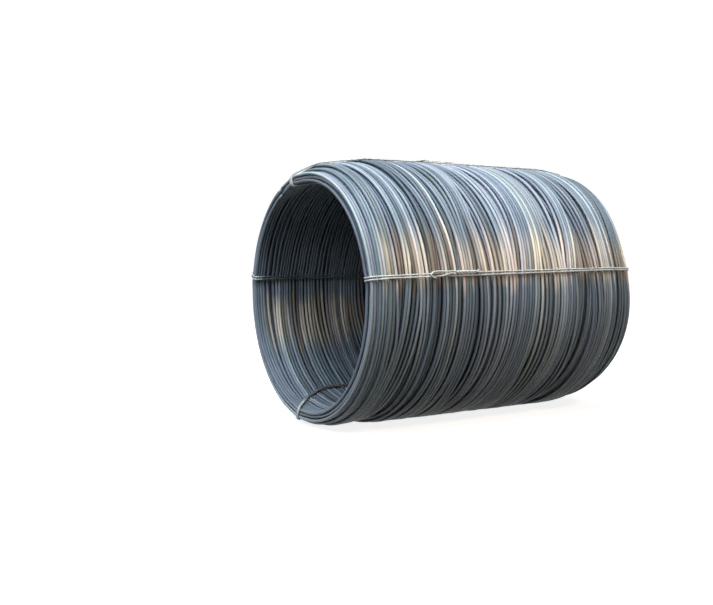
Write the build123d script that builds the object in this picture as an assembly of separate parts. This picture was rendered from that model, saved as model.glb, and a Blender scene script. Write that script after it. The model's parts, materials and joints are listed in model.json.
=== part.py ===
"""A coil of steel wire, lying on its side, bound by four doubled tie wires.

The wire is wound in loose turns round an open bore. At each end the outer layers run out, so
the wall gets thinner there and leaves a rounded shoulder, longer at the near end, and the last
turns show one by one round the rim. Each tie is one wire that goes twice round the coil's
wall: along the outside, over the far end, back through the bore and over the near end. Its two
ends are twisted together in a knot on the outside, and the middle of the wire passes beside
the knot.

Millimetres, +Z up. The coil's axis lies along Y and the origin is on it, halfway along the
coil. Half of the outline is drawn in the plane of X, which is the radius there, and Y.
"""
import os
from math import asin, cos, degrees, radians, sin

from build123d import *

# The coil
bore_radius = 425.0
wall_thickness = 80.0
coil_length = 1250.0

# The ends: a flat round the bore, a rim and a shoulder that runs up to the barrel
flat_thickness = 28.0
near_shoulder_length = 200.0
far_shoulder_length = 120.0
shoulder_cones = 3
rim_rounding = 24.0
mouth_rounding = 12.0

# The turns that show round each end
end_turns = 6
turn_pitch = 12.0
turn_relief = 3.2

# The ties, each one wire that goes round twice
tie_wire_diameter = 6.0
strand_spacing = 10.0
tie_sides = 5
tie_angles = {"right": 10.0, "top": 86.0, "left": 171.0, "bottom": 248.0}

# The knots, each at its own distance from where the near shoulder ends
knot_starts = {"right": 100.0, "top": 330.0, "left": 190.0, "bottom": 250.0}
knot_length = 90.0
knot_turns = 2
knot_steps = 6
knot_side_shift = 4.5
knot_lead = 40.0
tail_length = 14.0
tail_flare = 4.0

# Where the wire changes track before each knot, and its last stretch climbs over it
crossing_length = 40.0
crossing_gap = 20.0
climb_length = 35.0
climb_side_shift = 1.0

# Clearances
seat_clearance = 0.3
bore_clearance = 0.5

# What follows from them
outer_radius = bore_radius + wall_thickness
half_length = coil_length / 2
near_barrel_end = near_shoulder_length - half_length
far_barrel_end = half_length - far_shoulder_length
tie_radius = tie_wire_diameter / 2
strand_lift = tie_radius + seat_clearance
twist_radius = tie_radius + seat_clearance / 2
twist_lift = twist_radius + tie_radius + seat_clearance
crossing_lift = strand_lift + tie_wire_diameter + 2 * seat_clearance
bore_run_radius = bore_radius + bore_clearance + tie_radius
groove_floor = bore_run_radius + strand_lift
groove_width = strand_spacing + tie_wire_diameter + 2 * bore_clearance
shoulder_drop = wall_thickness - flat_thickness
rim_rounding_used = min(rim_rounding, shoulder_drop / 2)


def mouth_arc(inner_radius, lift=0.0):
    """The rounded edge from the bore's wall to the flat of the near end, raised by lift."""
    centre = (inner_radius + mouth_rounding, mouth_rounding - half_length)
    return CenterArc(centre, mouth_rounding + lift, 180, 90)


def end_outline(shoulder_length, inner_radius=bore_radius, lift=0.0):
    """An end that lies like the near one, from the bore's wall round to the barrel, raised by lift."""
    squares = shoulder_length**2 + shoulder_drop**2 - 2 * shoulder_length * rim_rounding_used
    shoulder_radius = squares / (2 * (shoulder_drop - rim_rounding_used))
    rise = shoulder_length - rim_rounding_used
    shoulder_arc = degrees(asin(rise / (shoulder_radius - rim_rounding_used)))
    shoulder_centre = (outer_radius - shoulder_radius, shoulder_length - half_length)
    rim_centre = (bore_radius + flat_thickness, rim_rounding_used - half_length)
    mouth = mouth_arc(inner_radius, lift)
    rim = CenterArc(rim_centre, rim_rounding_used + lift, -90, 90 - shoulder_arc)
    shoulder = CenterArc(shoulder_centre, shoulder_radius + lift, -shoulder_arc, shoulder_arc)
    return Wire([mouth, Line(mouth @ 1, rim @ 0), rim, shoulder])


def turned_end(shoulder_length):
    """The end outline in straight lines: a crest and a valley for each turn, then the shoulder."""
    outline = end_outline(shoulder_length)

    def place(along, relief=0.0):
        inward = Vector(0, 0, 1).cross(outline.tangent_at(along, position_mode=PositionMode.LENGTH))
        return outline.position_at(along, position_mode=PositionMode.LENGTH) + inward * relief

    points = []
    for turn in range(end_turns):
        points += [place(turn * turn_pitch), place((turn + 0.5) * turn_pitch, turn_relief)]
    turned_length = end_turns * turn_pitch
    cone_length = (outline.length - turned_length) / shoulder_cones
    points += [place(turned_length + cone * cone_length) for cone in range(shoulder_cones + 1)]
    return Polyline(*points).edges()


def wire_coil():
    """The coil as one turned solid, with a groove along the bore under each tie."""
    near_end = turned_end(near_shoulder_length)
    far_end = [edge.mirror(Plane.XZ) for edge in turned_end(far_shoulder_length)]
    bore_end = half_length - mouth_rounding
    barrel = Line((outer_radius, near_barrel_end), (outer_radius, far_barrel_end))
    bore = Line((bore_radius, -bore_end), (bore_radius, bore_end))
    coil = revolve(make_face([bore, *near_end, barrel, *far_end]), Axis.Y)
    for angle in tie_angles.values():
        coil -= placed(tie_groove(), angle)
    return coil


def tie_groove():
    """The cut that lets a tie lie outside the bore's circle, flared at both mouths."""
    depth_margin = 4 * bore_clearance
    near_mouth = mouth_arc(groove_floor)
    top = Line((bore_radius - depth_margin, -half_length), (bore_radius - depth_margin, half_length))
    near = Line(top @ 0, (groove_floor + mouth_rounding, -half_length))
    far = near.mirror(Plane.XZ)
    far_mouth = near_mouth.mirror(Plane.XZ)
    floor = Line(near_mouth @ 0, far_mouth @ 0)
    section = make_face([top, near, near_mouth, floor, far_mouth, far])
    return extrude(section, amount=groove_width / 2, both=True)


def placed(shape, angle):
    """A shape made in the plane of X and Y, turned about the coil's axis from +X towards +Z."""
    return Rot(0, -angle, 0) * shape


def round_the_wall(z):
    """One track of a tie in the plane of z, from the far shoulder through the bore to the near one."""
    near_end = end_outline(near_shoulder_length, groove_floor, strand_lift)
    far_end = end_outline(far_shoulder_length, groove_floor, strand_lift).mirror(Plane.XZ)
    bore_run = Line(far_end @ 0, near_end @ 0)
    return Wire([*far_end.edges(), bore_run, *near_end.edges()]).moved(Location((0, 0, z)))


def twist(side, start):
    """The corners of one end's way through the knot, winding round the knot's own axis."""
    points = []
    for step in range(knot_turns * knot_steps + 1):
        phase = radians(360 * step / knot_steps)
        x = outer_radius + twist_lift + side * twist_radius * sin(phase)
        z = knot_side_shift + side * twist_radius * cos(phase)
        points.append((x, start + knot_length * step / (knot_turns * knot_steps), z))
    return points


def tie(name):
    """A whole tie at its own angle: tail, twist, round, past the knot, round again, twist, tail."""
    start = near_barrel_end + knot_starts[name]
    end = start + knot_length
    run_x = outer_radius + strand_lift
    track = strand_spacing / 2
    tail_x = outer_radius + twist_lift + tail_flare
    crossing_end = start - crossing_gap
    crossing_start = crossing_end - crossing_length
    crossing_middle = (crossing_start + crossing_end) / 2
    climb_x = outer_radius + crossing_lift
    climb_end = crossing_middle - climb_length / 2
    climb_start = climb_end - climb_length
    first = twist(1, start)
    last = twist(-1, start)
    tail_out = knot_side_shift + twist_radius + tail_flare
    opening = Polyline(
        (run_x, far_barrel_end, track),
        (run_x, end + knot_lead, track),
        *reversed(first),
        (tail_x, start - tail_length, tail_out),
    )
    passing = Polyline(
        (run_x, near_barrel_end, track),
        (run_x, crossing_start, track),
        (run_x, crossing_end, -track),
        (run_x, far_barrel_end, -track),
    )
    closing = Polyline(
        (run_x, near_barrel_end, -track),
        (run_x, climb_start, -track),
        (climb_x, climb_end, climb_side_shift - track),
        (climb_x, crossing_middle, -climb_side_shift / 2),
        *last,
        (tail_x, end + tail_length, 2 * knot_side_shift - tail_out),
    )
    stretches = [opening, round_the_wall(track), passing, round_the_wall(-track), closing]
    return placed(Part() + [wire_along(stretch) for stretch in stretches], tie_angles[name])


def wire_along(path):
    """Tie wire along a path that starts on a straight run beside the coil's axis."""
    start = Plane(origin=path @ 0, x_dir=(1, 0, 0), z_dir=path % 0)
    return sweep(start * RegularPolygon(tie_radius, tie_sides), path=path, transition=Transition.RIGHT)


os.makedirs("parts", exist_ok=True)
export_step(wire_coil(), "parts/wire_coil.step")
for name in tie_angles:
    export_step(tie(name), f"parts/tie_{name}.step")
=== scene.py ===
# %% [markdown]
# # A coil of steel wire, tied for carrying
# A wire mill winds one long wire into hundreds of loose turns and binds them with four
# doubled ties, so that the coil can be lifted by its bore. This script dresses the plain
# solids of the part: it lays the turns one beside the other, layer on layer, pulls the ties
# tight round them, and then finishes the steel. Everything is in metres, with the coil's axis
# along Y and +Z up.

# %% Load the part
import json
from math import atan2, cos, hypot, pi, radians, sin, tau

import bmesh
import bpy
import numpy as np
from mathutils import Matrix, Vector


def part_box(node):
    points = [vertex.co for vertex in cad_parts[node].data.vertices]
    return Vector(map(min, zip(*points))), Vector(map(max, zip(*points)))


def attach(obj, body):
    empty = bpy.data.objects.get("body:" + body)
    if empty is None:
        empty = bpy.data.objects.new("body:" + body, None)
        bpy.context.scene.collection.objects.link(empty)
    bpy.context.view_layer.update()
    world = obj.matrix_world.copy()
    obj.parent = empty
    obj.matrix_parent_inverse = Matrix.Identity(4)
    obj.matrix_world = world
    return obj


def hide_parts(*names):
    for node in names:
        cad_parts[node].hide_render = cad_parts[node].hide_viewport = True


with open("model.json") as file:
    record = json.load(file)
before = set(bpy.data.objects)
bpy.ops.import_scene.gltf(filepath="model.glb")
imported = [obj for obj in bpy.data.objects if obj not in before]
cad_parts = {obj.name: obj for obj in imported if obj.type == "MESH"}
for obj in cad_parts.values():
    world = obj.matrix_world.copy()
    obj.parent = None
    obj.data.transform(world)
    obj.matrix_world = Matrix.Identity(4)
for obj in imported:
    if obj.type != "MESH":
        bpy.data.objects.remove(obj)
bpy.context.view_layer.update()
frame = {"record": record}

coil_low, coil_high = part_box("wire_coil")

# %% [markdown]
# # Where the picture is taken from
# The coil is seen from its near end and its right side, at about the height of its middle.
# The camera goes first, because every later step is judged through it. Its focal length is
# given in pixels, because that is what a fit to an outline in a picture gives.

# %% Camera
IMAGE_WIDTH, SENSOR_WIDTH = 713, 36
FOCAL_LENGTH_PIXELS = 882.5
CAMERA_PLACE = (2.8981, -2.1674, 0.1525)
TILT_DOWN, TURN_LEFT = 0.0574, 1.0221
camera = bpy.data.objects.new("camera", bpy.data.cameras.new("camera"))
camera.data.sensor_width = SENSOR_WIDTH
camera.data.lens = FOCAL_LENGTH_PIXELS * SENSOR_WIDTH / IMAGE_WIDTH
camera.location = CAMERA_PLACE
camera.rotation_euler = (pi / 2 - TILT_DOWN, 0, TURN_LEFT)
bpy.context.scene.collection.objects.link(camera)
bpy.context.scene.camera = camera
bpy.context.scene.view_settings.view_transform = "Standard"
print("The camera has a lens of", round(camera.data.lens, 1), "mm")

# %% [markdown]
# # A round wire along a path
# A bevelled curve is the shortest way to a wire: Blender carries a circle along the path and
# keeps it square to it. The curve is then made a mesh, so that each ring of its corners can
# carry a number of its own, such as how pale the steel is there. The two open ends are closed.

# %% Wire along a path
def wire_mesh(name, path, radius, sides, **carried):
    """Round wire along a path, as a mesh with closed ends and these numbers at each ring."""
    curve = bpy.data.curves.new(name, "CURVE")
    curve.dimensions = "3D"
    curve.bevel_depth = radius
    curve.bevel_resolution = (sides - 4) // 2
    spline = curve.splines.new("POLY")
    spline.points.add(len(path) - 1)
    spline.points.foreach_set("co", np.column_stack([path, np.ones(len(path))]).ravel())
    line = bpy.data.objects.new(name, curve)
    bpy.context.scene.collection.objects.link(line)
    bpy.context.view_layer.update()
    shape = line.evaluated_get(bpy.context.evaluated_depsgraph_get())
    mesh = bpy.data.meshes.new_from_object(shape)
    bpy.data.objects.remove(line)
    for label, numbers in carried.items():
        attribute = mesh.attributes.new(label, "FLOAT", "POINT")
        attribute.data.foreach_set("value", np.repeat(numbers, sides).astype(np.float32))
    wire = bmesh.new()
    wire.from_mesh(mesh)
    bmesh.ops.holes_fill(wire, edges=[edge for edge in wire.edges if edge.is_boundary], sides=sides)
    bmesh.ops.recalc_face_normals(wire, faces=wire.faces)
    for face in wire.faces:
        face.smooth = len(face.verts) == 4
    wire.to_mesh(mesh)
    wire.free()
    piece = bpy.data.objects.new(name, mesh)
    bpy.context.scene.collection.objects.link(piece)
    triangles = sum(len(face.vertices) - 2 for face in mesh.polygons)
    print(name, "has", len(path), "rings and", triangles, "triangles")
    return piece


# %% [markdown]
# # Numbers that wander
# Nothing about a loose turn is even, and nothing about it is sudden either, because the wire
# is stiff. So every uneven thing here, a lean, a gap, a tone, comes from chance values that
# are set at even steps along the wire and run smoothly from one to the next. The tones and the
# tints each have a source of chance of their own, and so does the laying of each layer, so
# that one of them can be changed without the others.

# %% Chance values along a wire
WEATHER_SEED, TINT_SEED = 5, 8
weather = np.random.default_rng(WEATHER_SEED)
tints = np.random.default_rng(TINT_SEED)


def eased(part):
    """A rise from 0 to 1 with a soft start and a soft end."""
    part = np.clip(part, 0, 1)
    return part * part * (3 - 2 * part)


def wander(chance, turns, step, low=-1.0, high=1.0, change=1.0):
    """Chance values from low to high, one every step turns, read at these turn counts.

    Each value holds for a while and runs over to the next one in the last part of its step,
    the change.
    """
    marks = chance.uniform(low, high, int(turns[-1] / step) + 3)
    place = turns / step
    before = place.astype(int)
    part = eased((place - before - 1 + change) / change)
    return marks[before] * (1 - part) + marks[before + 1] * part


# %% [markdown]
# # How the turns lie
# The wire goes up and down the coil in layers. In a real coil a turn leans a little, follows
# its neighbours, and leaves a wedge-shaped gap where they lean otherwise, and the turns of the
# next layer cross over it. So each layer starts as an even screw, gets its lean, and then each
# turn is pushed along until it clears the one before it by a wire's thickness. At their ends
# the inner layers are packed closer, and the last turns of the outer ones slump a little onto
# the layer below.

# %% Sizes of the turns
WIRE = 0.011
STEPS = 96
LOOSENESS = 0.0012
END_FLAT, END_GAP = 0.026, 0.0006
NEAR_SHOULDER, FAR_SHOULDER = 0.20, 0.12
bore_radius = frame["record"]["mounts"][0]["dims"]["r_mm"] / 1000
outer_radius = coil_high.z
half_length = coil_high.y
inner_line = bore_radius + WIRE / 2 + LOOSENESS
outer_line = outer_radius - WIRE / 2 - LOOSENESS
end_line = bore_radius + END_FLAT
lowest_line = coil_low.z + WIRE / 2 + END_GAP
print("The wire runs from", round(inner_line, 4), "to", round(outer_line, 4), "m off the axis")


def reach_of(radius, shoulder):
    """How far from the middle a layer of this radius reaches, inside its rounded shoulder."""
    rise = max(0.0, radius - end_line) / (outer_line - end_line)
    return half_length - WIRE / 2 - END_GAP - shoulder * (1 - (1 - min(rise, 1) ** 2) ** 0.5)


def depth_of(away):
    """How deep in the wall a distance from the axis is, from 0 on the outside to 1 at the bore."""
    return np.clip((outer_line - away) / (outer_line - inner_line), 0, 1)


def bell(distance, reach):
    """1 where the distance is 0, and almost 0 from twice the reach on."""
    return np.exp(-(distance / reach) ** 2)


# %% How a turn leans
LEAN_STEP, LEAN_CHANGE = 5.3, 0.12
WAVE_STEP, WAVE_CHANGE, WAVE_SIZE = 3.1, 0.3, 0.6
RIPPLE_STEP, RIPPLE_SIZE = 0.4, 0.2


def lean_of(chance, turns, size):
    """How far each point of the wire is off the even screw, for its turn leans and waves.

    Some turns lean together, and then the next ones lean another way.
    """
    def swing(times, step, change):
        angle = times * (tau * turns)
        across = wander(chance, turns, step, change=change) * np.cos(angle)
        return across + wander(chance, turns, step, change=change) * np.sin(angle)

    lean = swing(1, LEAN_STEP, LEAN_CHANGE)
    wave = swing(2, WAVE_STEP, WAVE_CHANGE)
    return size * (lean + WAVE_SIZE * wave + RIPPLE_SIZE * wander(chance, turns, RIPPLE_STEP))


# %% Lay one layer
CROSSOVER, CLIMB = 0.5, 0.12
PACKED_TURNS, HELD_TURNS = 7, 1.5
SLUMP_REACH = 0.05


def lay_layer(chance, numbers, came_from, radius, first_reach, reach):
    """One layer: turns counted from its start, distance from the axis, and place along it.

    The wire comes from the end of the layer below, with that one's radius and reach.
    """
    last_radius, last_reach = came_from
    length = first_reach + reach
    turns = np.arange((int(length / numbers["pitch"]) + 1) * STEPS + 1) / STEPS
    from_end = np.minimum(turns, turns[-1] - turns)
    screw = np.cumsum(1 - numbers["packed"] * bell(from_end, PACKED_TURNS))
    held = np.clip(from_end / HELD_TURNS, 0, 1)
    place = -first_reach + length * screw / screw[-1] + held * lean_of(chance, turns, numbers["lean"])
    over = eased(1 - turns / CROSSOVER)
    place = np.maximum(place, -first_reach) - (last_reach - first_reach) * over
    for i in range(STEPS, len(place)):
        place[i] = max(place[i], place[i - STEPS] + numbers["spacing"])
    place = np.minimum(place, reach)
    for i in range(len(place) - 1 - STEPS, -1, -1):
        place[i] = min(place[i], place[i + STEPS] - numbers["spacing"])
    place = np.maximum(place, -last_reach)
    climb = np.clip(1 - turns / CLIMB, 0, 1)
    slumped = 1 - eased(np.minimum(place + first_reach, reach - place) / SLUMP_REACH)
    ripple = LOOSENESS * wander(chance, turns, RIPPLE_STEP)
    away = radius - numbers["slump"] * slumped + ripple + (last_radius - radius) * climb
    return turns, away, place


# %% [markdown]
# # Where the ties lie
# The four ties stand at about the quarters of the coil's round, but they were pulled on by
# hand. The right one runs a little askew, the top and bottom ones bend aside at the near end,
# and the left one lies lower in the bore than outside. So a tie's place is an angle round the
# coil, from its right side over its top, that changes with the place along the coil and the
# depth in its wall.

# %% Angles of the ties, in degrees
TIE_ANGLES = {"right": 9.1, "top": 82, "left": 171.5, "bottom": 246}
SKEWS_PER_METRE = {"right": 1.7, "top": 0, "left": 0, "bottom": 0}
NEAR_BENDS = {"right": 0, "top": 21, "left": 0.3, "bottom": 17}
BORE_SHIFTS = {"right": 0, "top": 0, "left": 2.3, "bottom": 0}
BEND_START, BEND_REACH = -0.40, 0.22


def bearing(name, y, away):
    """The angle of a tie at this place along the coil and this distance from its axis."""
    bend = NEAR_BENDS[name] * np.clip((BEND_START - y) / BEND_REACH, 0, 1) ** 2
    shift = BORE_SHIFTS[name] * depth_of(away)
    return np.radians(TIE_ANGLES[name] + SKEWS_PER_METRE[name] * y + bend + shift)


def turned_from(angle, other):
    """The shortest way round to an angle from another one, between -pi and pi."""
    return (angle - other + pi) % tau - pi


# %% [markdown]
# # Turns out of true
# Past the ties nothing holds the last turns up, so the near end hangs a little lower than the
# rest. At the far end the turns are drawn in on the right, just above the tie. A tie presses
# the turns back from the bore, where it would be in the way, and the floor holds the lowest
# turns up. All of this is added to the points of the laid wire, where it costs no triangles.

# %% Put the turns in place
START_ANGLE = radians(115)
END_SAG, SAG_REACH = 0.017, 0.10
TIE_DENT, DENT_WIDTH = 0.0075, radians(3.5)
DRAWN_ANGLE, DRAWN_WIDTH = radians(21), radians(30)
DRAWN_IN, DRAWN_REACH = 0.038, 0.25


def angle_of(turns):
    """The angle round the coil at which a wire is after this many turns."""
    return tau * turns + START_ANGLE


def turns_in_place(turns, away, place):
    """Points in space of a laid wire, drawn in at the far end, dented by the ties and sagging."""
    angle = angle_of(turns)
    drawn = DRAWN_IN * bell(turned_from(angle, DRAWN_ANGLE), DRAWN_WIDTH)
    place = place - drawn * bell(place - half_length, DRAWN_REACH)
    dent = sum(bell(turned_from(angle, bearing(name, place, away)), DENT_WIDTH) for name in TIE_ANGLES)
    away = away + TIE_DENT * depth_of(away) * dent
    height = away * np.sin(angle) - END_SAG * bell(place + half_length, SAG_REACH)
    return np.column_stack([away * np.cos(angle), place, np.maximum(height, lowest_line)])


# %% [markdown]
# # What each turn looks like
# The turns differ in tone, and rain has got at some of them. A stretch of the right flank, from just under
# the tie to well above it, is tan and paler: partly rust, and partly painted warm light and highlight, as
# where low warm light falls on that side. A stretch inside the bore is tan and paler too, partly rust and
# partly painted warm glints. The bore's roof and the turns under other turns are darker, which is painted
# shade. At the near end the turns have no tan, vary less, and at the rim are paler outside and in the bore,
# which is painted light, as where the rim faces the light. One picture laid over the coil couldn't show
# this, because it changes from turn to turn, so each point of the wire carries its own numbers for it: how
# pale, how tan and how green it is.

# %% Stretches of tan, painted light and painted shade
# Degrees round the coil as start, full, fading and end: the right flank is tan and painted warm-lit, the
# bore tan with painted warm glints, the bore's roof in painted shade
TAN_AND_LIT_FLANK = [3, 11, 13, 34]
TAN_AND_GLINT_BORE = [182, 191, 201, 220]
BORE_ROOF = [0, 20, 165, 180]


def in_stretch(angle, stretch, early=0, late=0):
    """How far a point is inside a stretch of degrees round the coil, from 0 to 1.

    Early and late shift the degrees at which the stretch starts and ends.
    """
    degrees = (np.degrees(angle) + 90) % 360 - 90
    start, full, fading, end = stretch
    rise = eased((degrees - start - early) / (full - start))
    return rise * (1 - eased((degrees - fading - late) / (end - fading)))


# %% The looks of a laid wire
EDGE_STEP, EDGE_CHANGE = 0.9, 0.6
EARLY_SHIFTS, LATE_SHIFTS = (-5, 3), (-5, 6)
# No tan and no painted warm light within this reach of the near end
NO_TAN_END, NO_TAN_REACH = -0.605, 0.05
# At the near rim the tone varies less, and the bore's turns there are painted paler, as where the rim faces
# the light
NEAR_RIM_END, NEAR_RIM_REACH = -0.57, 0.06
BARE_REACH = 0.06
BROAD_STEP, BROAD_CHANGE, BROAD_SHARE = 0.73, 0.4, 0.6
FINE_STEP = 0.31
# The tan stretches get more contrast, as where warm light picks out the turns: painted light
MIDDLE_TONE, CONTRAST, NEAR_RIM_CONTRAST, LIT_CONTRAST = 0.5, 0.92, -0.4, 0.5
# How much paler a tan stretch is: a painted highlight, as where warm light falls on it
LIT_PALER = 0.28
BORE_DARKER, BORE_TAN_DARKER, BORE_NEAR_RIM_PALER = 0.06, 0.10, 0.13
# The bore's roof is painted dark and even: painted shade, as where little light reaches the upper inside
ROOF_TONE, ROOF_SHARE = 0.25, 0.85
# How much paler the outside is at each of these places along the coil; at the near rim this is painted
# light, as where the rim faces the light
PALE_PLACES = [-0.62, -0.55, -0.40, -0.15, 0.30, 0.55]
PALE_TONES = [0.26, -0.02, -0.04, 0.06, 0.13, 0.03]
SPECK_STEP, SPECK_RANGE, SPECK_TAN = 0.8, (-0.9, 0.8), 0.3
TAN_STEP, TAN_RANGE, TAN_CHANGE = 0.9, (0.25, 2.1), 0.5
HUE_STEP, HUE_RANGE, HUE_CHANGE = 0.8, (-0.3, 1.3), 0.5


def looks_of(layer, turns, y, over_near, over_far):
    """How pale, tan and green each point of a laid wire is, on scales from 0 to 1.

    The layer over it reaches from over_near to over_far, and turns lying under it are painted darker, as
    painted shade.
    """
    angle = angle_of(turns)
    bare = np.maximum(eased((-y - over_near) / BARE_REACH + 1), eased((y - over_far) / BARE_REACH + 1))
    tone_kept_in_shade = LAYERS[layer]["tone_kept_in_shade"]
    early = wander(weather, turns, EDGE_STEP, *EARLY_SHIFTS, change=EDGE_CHANGE)
    late = wander(weather, turns, EDGE_STEP, *LATE_SHIFTS, change=EDGE_CHANGE)
    # The tan stretches are partly rust and partly painted warm light
    tanned_and_lit = in_stretch(angle, TAN_AND_GLINT_BORE if layer == 0 else TAN_AND_LIT_FLANK, early, late)
    tanned_and_lit = tanned_and_lit * eased((y - NO_TAN_END) / NO_TAN_REACH)
    broad = wander(weather, turns, BROAD_STEP, 0, 1, change=BROAD_CHANGE)
    fine = wander(weather, turns, FINE_STEP, 0, 1)
    # Near the rim: less variation, and painted light on the bore's turns
    near_rim = 1 - eased((y - NEAR_RIM_END) / NEAR_RIM_REACH)
    contrast = CONTRAST + NEAR_RIM_CONTRAST * near_rim + LIT_CONTRAST * tanned_and_lit
    # The tone starts as random tone; painted shade and painted light are added to it below
    tone_light_and_shade = BROAD_SHARE * broad + (1 - BROAD_SHARE) * fine
    # A tan stretch is painted paler and with more contrast, as a highlight of warm light
    tone_light_and_shade = MIDDLE_TONE + (tone_light_and_shade - MIDDLE_TONE) * contrast + LIT_PALER * tanned_and_lit
    if layer == 0:
        # Painted shade on the bore's roof
        roof = (ROOF_TONE - tone_light_and_shade) * ROOF_SHARE * in_stretch(angle, BORE_ROOF)
        tone_light_and_shade = tone_light_and_shade - BORE_DARKER - BORE_TAN_DARKER * tanned_and_lit + roof + BORE_NEAR_RIM_PALER * near_rim
    else:
        # Paler outside by place along the coil; at the near rim this is painted light
        tone_light_and_shade = tone_light_and_shade + np.interp(y, PALE_PLACES, PALE_TONES)
    specks = wander(weather, turns, SPECK_STEP, *SPECK_RANGE) * SPECK_TAN
    tan_and_warm_light = specks + tanned_and_lit * wander(weather, turns, TAN_STEP, *TAN_RANGE, change=TAN_CHANGE)
    hue = wander(tints, turns, HUE_STEP, *HUE_RANGE, change=HUE_CHANGE)
    # Turns under the next layer keep only part of their tone: painted shade
    tone_light_and_shade = tone_light_and_shade * (tone_kept_in_shade + (1 - tone_kept_in_shade) * bare)
    return {"tone_light_and_shade": tone_light_and_shade, "tan_and_warm_light": np.clip(tan_and_warm_light, 0, 1), "hue": np.clip(hue, 0, 1)}


# %% [markdown]
# # Six layers of turns
# Six layers fill the wall. The middle ones are hardly seen, so they are laid closer, to let no light
# through, and their wire has fewer sides. The two outer ones are looser and lean more, which is what makes
# the barrel look as it does. Each layer's wire starts where the one below ended, and its path is kept,
# because the ties are later pulled over it. Where the next layer lies over a turn, that turn keeps only the
# share of its tone that its layer's row gives, which is painted shade between the turns over it.

# %% Lay all the layers
LAYING_SEED = 11
# In each row, the share of tone a turn keeps under the next layer is painted shade
LAYERS = [
    dict(pitch=0.0148, lean=0.012, spacing=0.0113, packed=0.30, slump=0, tone_kept_in_shade=1.0, sides=8),
    dict(pitch=0.0138, lean=0.012, spacing=0.0113, packed=0.30, slump=0, tone_kept_in_shade=0.55, sides=6),
    dict(pitch=0.0126, lean=0.012, spacing=0.0115, packed=0.25, slump=0, tone_kept_in_shade=0.3, sides=6),
    dict(pitch=0.0126, lean=0.013, spacing=0.0118, packed=0.15, slump=0.0022, tone_kept_in_shade=0.5, sides=6),
    dict(pitch=0.0162, lean=0.022, spacing=0.0120, packed=0, slump=0.0022, tone_kept_in_shade=0.72, sides=8),
    dict(pitch=0.0178, lean=0.033, spacing=0.0128, packed=0, slump=0.0022, tone_kept_in_shade=1.0, sides=8),
]


def radius_of(layer):
    """How far from the axis the wire of a layer runs, with the layers counted from 0 at the bore."""
    return inner_line + (outer_line - inner_line) * layer / (len(LAYERS) - 1)


coil_pieces, laid = [], []
came_from = inner_line, reach_of(inner_line, FAR_SHOULDER)
for layer, numbers in enumerate(LAYERS):
    radius, over = radius_of(layer), radius_of(layer + 1)
    near, far = reach_of(radius, NEAR_SHOULDER), reach_of(radius, FAR_SHOULDER)
    travel, first_reach, reach = (1, near, far) if layer % 2 else (-1, far, near)
    laying = np.random.default_rng([LAYING_SEED, layer])
    turns, away, place = lay_layer(laying, numbers, came_from, radius, first_reach, reach)
    path = turns_in_place(turns, away, travel * place)
    over_near, over_far = reach_of(over, NEAR_SHOULDER), reach_of(over, FAR_SHOULDER)
    looks = looks_of(layer, turns, path[:, 1], over_near, over_far)
    coil_pieces.append(wire_mesh(f"coil_layer_{layer + 1}", path, WIRE / 2, numbers["sides"], **looks))
    laid.append((angle_of(turns) % tau, path))
    came_from = radius, reach
print(sum(len(path) for _, path in laid) // STEPS, "turns in all")

# %% [markdown]
# # Ties pulled tight
# A tie is drawn round the wall until it touches only the turns that stand out most. The
# shortest way round them is their hull, as of a string round pegs, so the ties are run along
# the hull of the turns that they cross. That is quicker and surer than to let a soft wire
# shrink onto them.

# %% The way round the wall
TIE_WIRE = 0.006
TIE_CLEARANCE = 0.0002
PEG_CORNERS = 24


def half_hull(points):
    """One side of the hull round these points, which come in order of their place."""
    hull = []
    for point in points:
        while len(hull) > 1:
            (ax, ay), (bx, by) = hull[-1] - hull[-2], point - hull[-2]
            if ax * by - ay * bx > 0:
                break
            hull.pop()
        hull.append(point)
    return np.array(hull)


def way_round(name):
    """A taut tie's line through the bore and outside, as places along Y and distances from the axis."""
    pegs = []
    for angle, path in laid:
        at = bearing(name, path[:, 1], np.hypot(path[:, 0], path[:, 2]))
        near = np.abs(turned_from(angle, at)) < tau / STEPS
        x, y, z = path[near].T
        pegs.append(np.column_stack([y, x * np.cos(at[near]) + z * np.sin(at[near])]))
    pegs = np.concatenate(pegs)
    clear = WIRE / 2 + TIE_WIRE / 2 + TIE_CLEARANCE
    ring = np.linspace(0, tau, PEG_CORNERS, endpoint=False)
    spots = (pegs[:, None] + clear * np.column_stack([np.cos(ring), np.sin(ring)])).reshape(-1, 2)
    spots = spots[np.lexsort((spots[:, 1], spots[:, 0]))]
    return half_hull(spots), half_hull(spots[::-1])[::-1]


# %% [markdown]
# # One wire, twice round, and a knot
# Each tie is one wire that goes twice round the wall. Its two ends meet on the outside and
# are twisted together, and the middle of the wire passes beside the twist. To get there, one
# turn of it climbs over the other just before the knot. Here and there the two strands run
# together, and one end of the right knot was bent back in a hook by the tool that twisted it.
# The whole way is drawn as rows of place along the coil, height over the taut line and shift sideways, and
# is then rounded off as a bent wire is. Inside the bore the wire is painted darker, as painted shade.

# %% Sizes of a tie
# Each knot starts this far from the coil's near end
KNOT_STARTS = {"right": 0.317, "top": 0.530, "left": 0.390, "bottom": 0.450}
KNOT_LENGTH, KNOT_TURNS, KNOT_LEAD, KNOT_STEPS = 0.090, 3.25, 0.040, 25
KNOT_SHIFT, KNOT_LIFT, KNOT_WIDTH = 0.0060, 0.0031, 0.0056
TAIL_LENGTH, TAIL_SHIFT = 0.014, 2.4
HOOKED = "right"
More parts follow.
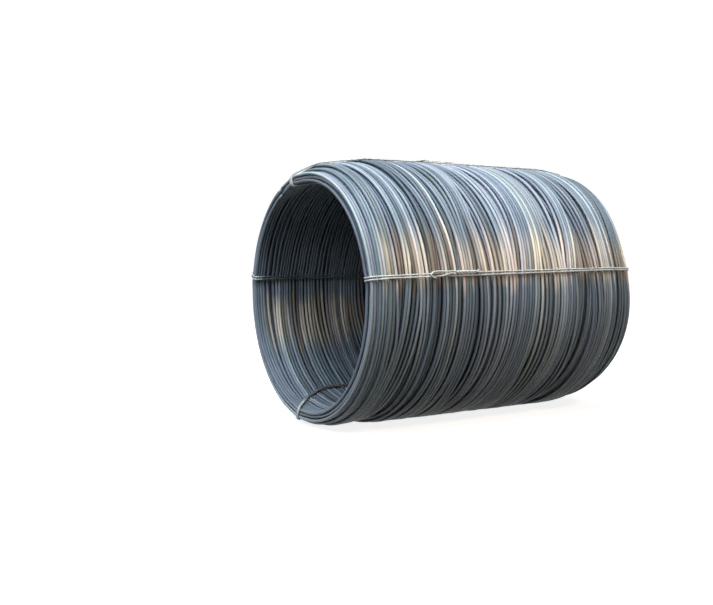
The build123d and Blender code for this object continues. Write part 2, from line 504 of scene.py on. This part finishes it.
# Rows of way back from the knot, lift in wires and shift sideways
HOOK = [(0.080, 0.3, -0.011), (0.096, 1.0, -0.008), (0.104, 1.1, 0.001), (0.098, 1.1, 0.009),
        (0.075, 1.0, 0.012), (0.030, 0.8, 0.010)]
CROSSING_GAP, CROSSING_LENGTH = 0.020, 0.040
CLIMB_START, CLIMB_END, CLIMB_SIDE = -0.020, 0.015, -0.5
WALL_TURN = 0.40
STRAND_SPACINGS = {"right": 0.010, "top": 0.010, "left": 0.010, "bottom": 0.0066}
# How much of its spacing a pair of strands keeps at each of these places along the coil
APART_PLACES = [-0.60, -0.53, -0.43, -0.39, 0.10, 0.50]
APART = [1, 0.62, 0.62, 1, 1, 0.66]
TIE_STEP, CORNER_STEPS = 0.004, 5
# Near the bore wall and deep in the bore a tie is painted dark, as painted shade
PAINTED_SHADE_HEIGHT, PAINTED_SHADE_REACH = 0.03, 0.05
# How far past the rims into the bore each tie is still free of the painted shade
UNSHADED_INTO_BORE = {"right": 0.040, "top": -0.020, "left": 0.005, "bottom": 0.035}


def rounded(rows):
    """The line through these rows at even steps, with its corners rounded off."""
    rows = np.array(rows, float)
    along = np.concatenate([[0], np.cumsum(np.linalg.norm(np.diff(rows, axis=0), axis=1))])
    even = np.arange(0, along[-1], TIE_STEP)
    line = np.column_stack([np.interp(even, along, column) for column in rows.T])
    weight = np.hanning(CORNER_STEPS + 2)[1:-1]
    margin = CORNER_STEPS // 2
    padded = np.pad(line, ((margin, margin), (0, 0)), mode="edge")
    return np.column_stack([np.convolve(c, weight / weight.sum(), "valid") for c in padded.T])


# %% Draw a tie
def tie_path(name):
    """Points in space along one tie, from tail to tail, and how far each is out of the painted shade in the
    bore.
    """
    inside, outside = way_round(name)
    out_y, out_r = outside.T
    start = KNOT_STARTS[name] - half_length
    end = start + KNOT_LENGTH
    crossing_end = start - CROSSING_GAP
    crossing_start = crossing_end - CROSSING_LENGTH

    def over(y, lift, side):
        """A row on the outside, lifted and shifted off the taut line."""
        return [y, np.interp(y, out_y, out_r) + lift, side]

    def along(y, way, lift=0):
        """A row on one of the two strands, which are way 1 and way -1."""
        half = STRAND_SPACINGS[name] / 2 * np.interp(y, APART_PLACES, APART)
        return over(y, lift, way * max(half, TIE_WIRE / 2))

    def twist(phase):
        """One end's way through the knot."""
        steps = np.linspace(0, 1, KNOT_STEPS)
        swirl = tau * KNOT_TURNS * steps + phase
        return [over(start + KNOT_LENGTH * t, KNOT_LIFT * (1 + sin(a)), KNOT_SHIFT + KNOT_WIDTH * cos(a))
                for t, a in zip(steps, swirl)]

    def round_the_wall(way):
        """One strand over the far end, back through the bore and over the near end."""
        far = [along(y, way) for y, _ in outside if y > WALL_TURN]
        bore = [[y, r, way * STRAND_SPACINGS[name] / 2] for y, r in inside[::-1]]
        near = [along(y, way) for y, _ in outside if y < -WALL_TURN]
        return far + bore + near

    rows = [over(start - TAIL_LENGTH, TIE_WIRE, TAIL_SHIFT * KNOT_SHIFT)]
    if name == HOOKED:
        rows = [over(start - back, lift * TIE_WIRE, side) for back, lift, side in HOOK]
    rows += twist(0)
    rows += [along(end + KNOT_LEAD, 1), along(WALL_TURN, 1)]
    rows += round_the_wall(1)
    rows += [along(-WALL_TURN, 1), along(crossing_start, 1), along(crossing_end, -1)]
    rows += [along(end, -1), along(WALL_TURN, -1)]
    rows += round_the_wall(-1)
    rows += [along(-WALL_TURN, -1), along(crossing_start + CLIMB_START, -1)]
    rows += [along(crossing_start + CLIMB_END, CLIMB_SIDE, TIE_WIRE), along(crossing_end, 1, TIE_WIRE)]
    rows += twist(pi)
    rows += [over(end + TAIL_LENGTH, TIE_WIRE, TAIL_SHIFT * KNOT_SHIFT)]
    y, r, side = rounded(rows).T
    across, up = np.cos(bearing(name, y, r)), np.sin(bearing(name, y, r))
    # Deep in the bore and near its wall the tie is painted dark: painted shade
    into_bore = half_length - UNSHADED_INTO_BORE[name] - np.abs(y)
    painted_shade = (r < bore_radius + PAINTED_SHADE_HEIGHT) * eased(into_bore / PAINTED_SHADE_REACH)
    return np.column_stack([r * across - side * up, y, r * up + side * across]), 1 - painted_shade


# %% All four ties
TIE_SIDES = 8
tie_pieces = []
for name in TIE_ANGLES:
    path, bright = tie_path(name)
    tie_pieces.append(wire_mesh(f"tie_wire_{name}", path, TIE_WIRE / 2, TIE_SIDES, bright=bright))

# %% [markdown]
# # Steel as it leaves the mill
# Rolled wire keeps a thin blue-grey scale with a dull sheen, and a breath of tan where it starts to rust.
# The tan also stands in for warm light on the right flank and in the bore, which is painted light. The tone
# that each ring of the wire carries picks between the dark and the pale scale, and noise breaks it up along
# the way; it holds the painted shade and painted light given with the turns. The same shade picks the tan,
# so a dark turn stays dark where it rusts. Last comes a faint tint, violet on some turns and green on
# others.

# %% Node helpers
def new_material(name):
    """A material with an empty Principled shader, its nodes and its links."""
    material = bpy.data.materials.new(name)
    material.use_nodes = True
    nodes, links = material.node_tree.nodes, material.node_tree.links
    return material, nodes, links, nodes["Principled BSDF"]


def feed(links, socket, value):
    """Give a socket a plain number or colour, or else what another node gives."""
    if isinstance(value, (int, float, tuple)):
        socket.default_value = value
    else:
        links.new(value, socket)


def sums(nodes, links, operation, *values):
    """A Math node on numbers or on what other nodes give."""
    node = nodes.new("ShaderNodeMath")
    node.operation = operation
    for socket, value in zip(node.inputs, values):
        feed(links, socket, value)
    return node.outputs[0]


def mixed(nodes, links, share, first, second, blend="MIX"):
    """Two colours mixed by a share."""
    node = nodes.new("ShaderNodeMixRGB")
    node.blend_type = blend
    for label, value in (("Fac", share), ("Color1", first), ("Color2", second)):
        feed(links, node.inputs[label], value)
    return node.outputs["Color"]


def ramp(nodes, links, share, stops):
    """The colour that a share picks from these (place, colour) stops."""
    node = nodes.new("ShaderNodeValToRGB")
    elements = node.color_ramp.elements
    while len(elements) < len(stops):
        elements.new(0.5)
    for element, (place, colour) in zip(elements, stops):
        element.position = place
        element.color = (*colour, 1)
    links.new(share, node.inputs["Fac"])
    return node.outputs["Color"]


# %% Noise, ring numbers and bumps
def noise(nodes, links, scale, detail):
    """Noise on the piece's own place in space."""
    place = nodes.new("ShaderNodeTexCoord")
    node = nodes.new("ShaderNodeTexNoise")
    node.inputs["Scale"].default_value = scale
    node.inputs["Detail"].default_value = detail
    links.new(place.outputs["Object"], node.inputs["Vector"])
    return node.outputs["Fac"]


def streaks(nodes, links, along, around, detail):
    """Noise drawn out along the wire, by the UV map that its curve gave it."""
    place = nodes.new("ShaderNodeUVMap")
    stretch = nodes.new("ShaderNodeMapping")
    stretch.inputs["Scale"].default_value = (along, around, 1)
    node = nodes.new("ShaderNodeTexNoise")
    node.inputs["Scale"].default_value = 1.0
    node.inputs["Detail"].default_value = detail
    links.new(place.outputs["UV"], stretch.inputs["Vector"])
    links.new(stretch.outputs["Vector"], node.inputs["Vector"])
    return node.outputs["Fac"]


def carried(nodes, name):
    """A number that the rings of the wire carry."""
    node = nodes.new("ShaderNodeAttribute")
    node.attribute_name = name
    return node.outputs["Fac"]


def roughened(nodes, links, shader, height, strength, distance):
    """A bump from this height, which the shader then shows."""
    bump = nodes.new("ShaderNodeBump")
    bump.inputs["Strength"].default_value = strength
    bump.inputs["Distance"].default_value = distance
    links.new(height, bump.inputs["Height"])
    links.new(bump.outputs["Normal"], shader.inputs["Normal"])


# %% Wire steel
SCALE_COLOURS = [
    (0.0, (0.041, 0.054, 0.066)),
    (0.5, (0.164, 0.192, 0.214)),
    (1.0, (0.44, 0.47, 0.485)),
]
# From dark rust to the cream of painted warm light
TAN_AND_WARM_LIGHT_COLOURS = [
    (0.0, (0.080, 0.058, 0.038)),
    (0.5, (0.28, 0.209, 0.141)),
    (1.0, (0.80, 0.645, 0.485)),
]
TINTS = [(0.0, (1.02, 0.96, 1.035)), (1.0, (0.99, 1.018, 0.978))]
PATCH_SHADE, STREAK_SHADE = 0.22, 0.24
SHADE_DOWN = 0.23
BLOTCH_TAN, LEAST_TAN = 0.5, 0.65
PATCH_ROUGHNESS, LEAST_ROUGHNESS = 0.18, 0.28
SCALE_IOR = 1.3


def mill_steel():
    """Blue-grey scale, dark to pale by the wire's tone, with patches, streaks and a warm brown that is
    partly rusted steel and partly painted warm light.
    """
    material, nodes, links, shader = new_material("mill_steel")
    patches = noise(nodes, links, scale=14, detail=3)
    drawn = streaks(nodes, links, along=900, around=5, detail=2)
    shade = sums(nodes, links, "MULTIPLY_ADD", patches, PATCH_SHADE, carried(nodes, "tone_light_and_shade"))
    shade = sums(nodes, links, "MULTIPLY_ADD", drawn, STREAK_SHADE, shade)
    shade = sums(nodes, links, "SUBTRACT", shade, SHADE_DOWN)
    blotches = noise(nodes, links, scale=5, detail=2)
    blotches = sums(nodes, links, "MULTIPLY_ADD", blotches, BLOTCH_TAN, LEAST_TAN)
    # The share of tan is partly rust and partly painted warm light
    rust_and_warm_light = sums(nodes, links, "MULTIPLY", carried(nodes, "tan_and_warm_light"), blotches)
    scale = ramp(nodes, links, shade, SCALE_COLOURS)
    tan_and_warm_light = ramp(nodes, links, shade, TAN_AND_WARM_LIGHT_COLOURS)
    tint = ramp(nodes, links, carried(nodes, "hue"), TINTS)
    colour = mixed(nodes, links, rust_and_warm_light, scale, tan_and_warm_light)
    links.new(mixed(nodes, links, 1.0, colour, tint, blend="MULTIPLY"), shader.inputs["Base Color"])
    gloss = sums(nodes, links, "MULTIPLY_ADD", patches, PATCH_ROUGHNESS, LEAST_ROUGHNESS)
    links.new(gloss, shader.inputs["Roughness"])
    shader.inputs["IOR"].default_value = SCALE_IOR
    roughened(nodes, links, shader, noise(nodes, links, scale=420, detail=3), strength=0.08, distance=0.0004)
    return material


# %% [markdown]
# # Brighter wire for the ties
# The ties are another wire, plain and newer than the coil, so they are pale and a little warm.
# In the bore they are painted dark, as painted shade. Both colours are ramps on the same patches, and the
# number that the tie's rings carry picks between them.

# %% Tie steel
BRIGHT_COLOURS = [(0.3, (0.38, 0.35, 0.31)), (0.7, (0.68, 0.63, 0.56))]
# Dark colours that paint the shade on the ties inside the bore
PAINTED_SHADE_COLOURS = [(0.3, (0.10, 0.096, 0.092)), (0.7, (0.18, 0.172, 0.165))]
TIE_PATCH_ROUGHNESS, TIE_LEAST_ROUGHNESS = 0.25, 0.25


def tie_steel():
    """Pale warm wire that is painted dark as shade where its rings say so, with patches in both."""
    material, nodes, links, shader = new_material("tie_steel")
    patches = noise(nodes, links, scale=60, detail=3)
    pale = ramp(nodes, links, patches, BRIGHT_COLOURS)
    # The painted shade, as dark colours on the same patches
    painted_shade = ramp(nodes, links, patches, PAINTED_SHADE_COLOURS)
    colour = mixed(nodes, links, carried(nodes, "bright"), painted_shade, pale)
    links.new(colour, shader.inputs["Base Color"])
    gloss = sums(nodes, links, "MULTIPLY_ADD", patches, TIE_PATCH_ROUGHNESS, TIE_LEAST_ROUGHNESS)
    links.new(gloss, shader.inputs["Roughness"])
    roughened(nodes, links, shader, noise(nodes, links, scale=500, detail=2), strength=0.15, distance=0.0004)
    return material


# %% Dress the pieces
wire_steel, binding_steel = mill_steel(), tie_steel()
for piece in coil_pieces:
    piece.data.materials.append(wire_steel)
    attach(piece, "root")
    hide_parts("wire_coil")
for piece, name in zip(tie_pieces, TIE_ANGLES):
    piece.data.materials.append(binding_steel)
    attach(piece, "root")
    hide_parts(f"tie_{name}")
print(len(coil_pieces), "layers stand for the coil, and", len(tie_pieces), "wires for its ties")

# %% [markdown]
# # Floor and light
# The coil lies on a plain pale floor. Cool light comes down over it as from the sky, a warmer
# lamp stands low on its right, and a third one lights the lower half of the bore. The white
# round the coil is only what the camera and the shiny steel see: the light that the floor and
# the surroundings give is kept low, so that the gaps between the turns and the inside of the
# bore stay dark. Far off the floor glows a little more, so that it ends as white as what is
# behind it.

# %% White where it is seen
def seen_ray(nodes, links):
    """1 for a ray that the camera, a reflection or glass sends out, and 0 for plain light."""
    path = nodes.new("ShaderNodeLightPath")
    shiny = sums(nodes, links, "MAXIMUM", path.outputs["Is Camera Ray"], path.outputs["Is Glossy Ray"])
    return sums(nodes, links, "MAXIMUM", shiny, path.outputs["Is Transmission Ray"])


# %% Floor
WHITE, FLOOR_PAINT = (1, 1, 1, 1), (0.8, 0.8, 0.8, 1)
FLOOR_LIGHT = (0.040, 0.044, 0.036, 1)
FLOOR_SIZE = 80
GLOW = {"From Min": 1.2, "From Max": 4.0, "To Min": 0.84, "To Max": 1.0}
bpy.ops.mesh.primitive_plane_add(size=FLOOR_SIZE, location=(0, 0, coil_low.z))
floor = bpy.context.object
floor.name = "floor"
floor_material, nodes, links, shader = new_material("pale_floor")
shader.inputs["Base Color"].default_value = FLOOR_PAINT
shader.inputs["Roughness"].default_value = 1.0
shader.inputs["Specular IOR Level"].default_value = 0.0
shader.inputs["Emission Color"].default_value = WHITE
place = nodes.new("ShaderNodeTexCoord")
distance = nodes.new("ShaderNodeVectorMath")
distance.operation = "LENGTH"
glow = nodes.new("ShaderNodeMapRange")
for label, number in GLOW.items():
    glow.inputs[label].default_value = number
links.new(place.outputs["Object"], distance.inputs[0])
links.new(distance.outputs["Value"], glow.inputs["Value"])
links.new(glow.outputs["Result"], shader.inputs["Emission Strength"])
plain = nodes.new("ShaderNodeBsdfDiffuse")
plain.inputs["Color"].default_value = FLOOR_LIGHT
choice = nodes.new("ShaderNodeMixShader")
links.new(seen_ray(nodes, links), choice.inputs["Fac"])
links.new(plain.outputs["BSDF"], choice.inputs[1])
links.new(shader.outputs["BSDF"], choice.inputs[2])
links.new(choice.outputs["Shader"], nodes["Material Output"].inputs["Surface"])
floor.data.materials.append(floor_material)
print("The floor is at", round(coil_low.z, 4), "m")

# %% Lamps
def lamp(name, place, target, size, power, colour):
    """A soft square lamp that faces a point."""
    light = bpy.data.lights.new(name, "AREA")
    light.size, light.energy, light.color = size, power, colour
    stand = bpy.data.objects.new(name, light)
    stand.location = place
    dx, dy, dz = (t - p for t, p in zip(target, place))
    stand.rotation_euler = (pi / 2 + atan2(dz, hypot(dx, dy)), 0, atan2(dy, dx) - pi / 2)
    bpy.context.scene.collection.objects.link(stand)
    print(name, "gives", power, "W over", size, "m")


lamp("sky_lamp", place=(1.0, -1.1, 3.7), target=(0, 0, 0), size=2.4, power=312, colour=(0.71, 0.86, 1.0))
lamp("warm_lamp", place=(4.2, -0.4, 3.0), target=(0, 0, 0.1), size=0.8, power=70, colour=(1.0, 0.80, 0.60))
lamp("bore_lamp", place=(1.6, -3.6, 2.3), target=(-0.2, -0.5, -0.2), size=1.0, power=65,
     colour=(0.73, 0.86, 1.0))

# %% Surroundings
SURROUNDING_LIGHT = (0.049, 0.053, 0.048, 1)
world = bpy.data.worlds.new("surroundings")
bpy.context.scene.world = world
world.use_nodes = True
nodes, links = world.node_tree.nodes, world.node_tree.links
shown = mixed(nodes, links, seen_ray(nodes, links), SURROUNDING_LIGHT, WHITE)
links.new(shown, nodes["Background"].inputs["Color"])
